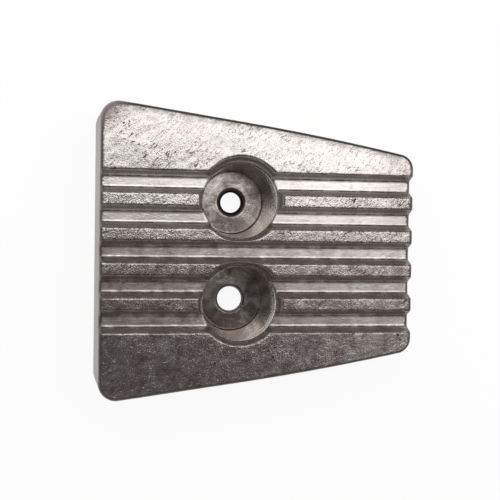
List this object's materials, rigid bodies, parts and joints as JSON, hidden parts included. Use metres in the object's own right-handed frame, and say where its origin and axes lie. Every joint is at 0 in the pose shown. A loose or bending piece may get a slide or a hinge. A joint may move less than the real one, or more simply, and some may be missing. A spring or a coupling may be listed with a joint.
{
  "type": "sacrificial anode",
  "caption": "Cast tapered block anode with a grooved face, drafted walls and deep counterbored bolt holes, for bolting flat against a marine drive or hull casting.",
  "frame": {"origin": "on the flat back, at the middle of the part's bounding box", "axes": "+Z out of the back towards the grooved face, +X along the grooves from the wide end to the narrow end, +Y across the grooves"},
  "size_m": [0.104, 0.0966, 0.0285],
  "materials": {
    "cast_anode_alloy": "rough as-cast skin, machined counterbores"
  },
  "bodies": {
    "root": {"anode": "cast_anode_alloy"}
  },
  "joints": []
}
